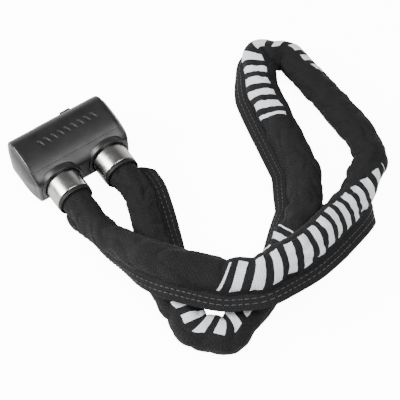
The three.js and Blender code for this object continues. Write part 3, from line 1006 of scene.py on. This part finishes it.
# ---- Stitching ----
# Two rows of black bonded nylon thread hold the seam: lockstitch, about 3.6 mm a stitch, on both
# faces of the seam.
thread = new_material("bonded_nylon_thread")
place = add(thread, "ShaderNodeTexCoord").outputs["Object"]
twist = add(thread, "ShaderNodeTexNoise", {"Vector": place, "Scale": 1 / (0.4 * MM), "Detail": 2})
thread_colour = add(
    thread, "ShaderNodeMix",
    {"Factor": twist.outputs["Fac"], "A": linear("#070708"), "B": linear("#131314")},
    data_type="RGBA",
)
thread_bump = add(
    thread, "ShaderNodeBump", {"Height": twist.outputs["Fac"], "Strength": 0.5, "Distance": 0.1 * MM}
)
finish_material(
    thread,
    add(
        thread,
        "ShaderNodeBsdfPrincipled",
        {
            "Base Color": thread_colour.outputs["Result"],
            "Roughness": 0.5,
            "IOR": 1.53,
            "Sheen Weight": 0.2,
            "Normal": thread_bump.outputs[0],
        },
    ),
)


def on_skin(s, column):
    row = s / ring_step
    low = min(int(row), ring_count - 2)
    side = min(int(column), skin.shape[1] - 2)
    u, v = row - low, column - side
    near = skin[low][side] * (1 - v) + skin[low][side + 1] * v
    far = skin[low + 1][side] * (1 - v) + skin[low + 1][side + 1] * v
    return near * (1 - u) + far * u


# A stitch at five places along it: how far, how thick, and how high above the cloth.
stitch_shape = ((0, 0.16, -0.2), (0.18, 0.32, 0.05), (0.5, 0.36, 0.16), (0.82, 0.32, 0.05), (1, 0.16, -0.2))
stitch_length = 2.7
stitch_pitch = 3.6


def stitch_row(name, begin, end):
    points = []
    faces = []
    upper_root = seam_count
    lower_root = seam_count + girth_count - 1
    for column in (upper_root - 1.2, upper_root - 3.0, lower_root + 1.2, lower_root + 3.0):
        s = begin
        while s + stitch_length < end:
            if min(s, sleeve_length - s) > 13:
                start, finish = on_skin(s, column), on_skin(s + stitch_length, column)
                lie = (finish - start) / np.linalg.norm(finish - start)
                across = on_skin(s + 1.3, column + 0.4) - on_skin(s + 1.3, column - 0.4)
                across /= np.linalg.norm(across)
                lift = np.cross(lie, across)
                lift /= np.linalg.norm(lift)
                side = stitch_side(lift, s, column)
                rings = []
                for t, thick, rise in stitch_shape:
                    middle = start + (finish - start) * t + lift * rise * side
                    ring = [middle + a * across + b * lift for a, b in circle(thick, 6)]
                    rings.append([(x, y, max(z, 0.1)) for x, y, z in ring])
                base = len(points)
                stitch_points, stitch_faces = loft(rings)
                points += stitch_points
                faces += [[base + corner for corner in face] for face in stitch_faces]
            s += stitch_pitch
    made = piece(name, points, faces, None, thread, "")
    return made


def stitch_side(lift, s, column):
    """Plus or minus one, so that lift points away from the seam's middle."""
    other = (2 * seam_count + girth_count - 1) - column
    return 1 if np.dot(lift, on_skin(s, column) - on_skin(s, other)) > 0 else -1


near_stitches = stitch_row("stitching_near_locking_end", 0, along[join])
far_stitches = stitch_row("stitching_loop_and_fixed_end", along[join] + 0.9, sleeve_length)

# ---- Sleeve placement ----
# The sleeve's pieces and their stitching have their placement baked into their points.
for made in (near_sleeve, near_stitches):
    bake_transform(made)
for made in (far_sleeve, far_stitches):
    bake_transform(made)

# ---- Studio ----
# A white sweep for a floor, one big soft light over the lock, a lower one on the left and a weak
# fill, with a pale room round them.
floor_white = new_material("white_floor_sheet")
place = add(floor_white, "ShaderNodeTexCoord").outputs["Object"]
mottle = add(floor_white, "ShaderNodeTexNoise", {"Vector": place, "Scale": 6.0, "Detail": 2})
floor_tone = add(
    floor_white, "ShaderNodeMix",
    {"Factor": mottle.outputs["Fac"], "A": linear("#fbfbfb"), "B": linear("#ffffff")},
    data_type="RGBA",
)
# The sheet is lit from behind as far as the eye sees it, and lights nothing itself.
sight = add(floor_white, "ShaderNodeLightPath")
glow = add(floor_white, "ShaderNodeMath", {0: sight.outputs["Is Camera Ray"], 1: 11.0}, operation="MULTIPLY")
finish_material(
    floor_white,
    add(
        floor_white,
        "ShaderNodeBsdfPrincipled",
        {
            "Base Color": floor_tone.outputs["Result"],
            "Roughness": 0.9,
            "Emission Color": linear("#ffffff"),
            "Emission Strength": glow.outputs[0],
        },
    ),
)
reach = 4000
floor = piece(
    "floor",
    [(-reach, -reach, -0.3), (reach, -reach, -0.3), (reach, reach, -0.3), (-reach, reach, -0.3)],
    [[0, 1, 2, 3]],
    None,
    floor_white,
    "",
)


def softbox(name, place, target, size, power):
    light = bpy.data.lights.new(name, "AREA")
    light.shape = "RECTANGLE"
    light.size, light.size_y = size
    light.energy = power
    made = bpy.data.objects.new(name, light)
    bpy.context.scene.collection.objects.link(made)
    made.location = place
    made.rotation_euler = (Vector(target) - Vector(place)).to_track_quat("-Z", "Y").to_euler()
    return made


aim = (0.06, -0.08, 0)
softbox("overhead", (0.15, -0.5, 1.25), aim, (0.9, 0.7), 22)
softbox("left", (-0.78, 0.4, 0.68), aim, (0.4, 0.6), 26)
softbox("front_fill", (0.5, -1.2, 0.8), aim, (0.9, 0.6), 5)
room = bpy.data.worlds.new("studio")
room.use_nodes = True
room.node_tree.nodes.clear()
# The walls are paler than the ceiling, and the one behind the lock is the palest.
around = add(room, "ShaderNodeTexCoord").outputs["Generated"]
directions = add(room, "ShaderNodeSeparateXYZ", {"Vector": around})
fading = add(
    room, "ShaderNodeMapRange",
    {"Value": directions.outputs["Z"], "From Min": 0.05, "From Max": 0.6, "To Min": 1, "To Max": 0.14},
)
behind = add(
    room, "ShaderNodeMapRange",
    {"Value": directions.outputs["Y"], "From Min": -0.5, "From Max": 0.9, "To Min": 0.3, "To Max": 1.8},
)
lighting = add(room, "ShaderNodeMath", {0: fading.outputs[0], 1: behind.outputs[0]}, operation="MULTIPLY")
# What the eye sees of the room is white, like the floor.
seen = add(room, "ShaderNodeLightPath")
glare = add(room, "ShaderNodeMath", {0: seen.outputs["Is Camera Ray"], 1: 11.0}, operation="MULTIPLY")
strength = add(room, "ShaderNodeMath", {0: lighting.outputs[0], 1: glare.outputs[0]}, operation="ADD")
backdrop = add(room, "ShaderNodeBackground", {"Color": linear("#ffffff"), "Strength": strength.outputs[0]})
add(room, "ShaderNodeOutputWorld", {"Surface": backdrop.outputs[0]})
bpy.context.scene.world = room

# ---- Camera ----
# A 90 mm lens to the front left of the lock, looking down at it.
lens = bpy.data.cameras.new("camera")
lens.lens = 90
lens.sensor_width = 36
lens.clip_start = 0.02
camera = bpy.data.objects.new("camera", lens)
bpy.context.scene.collection.objects.link(camera)
looked_at = Vector((0.0582, -0.0840, 0))
azimuth, elevation, distance = math.radians(-35.2), math.radians(57.8), 0.7272
camera.location = looked_at + distance * Vector(
    (
        math.cos(elevation) * math.sin(azimuth),
        -math.cos(elevation) * math.cos(azimuth),
        math.sin(elevation),
    )
)
camera.rotation_euler = (looked_at - camera.location).to_track_quat("-Z", "Y").to_euler()
bpy.context.scene.camera = camera
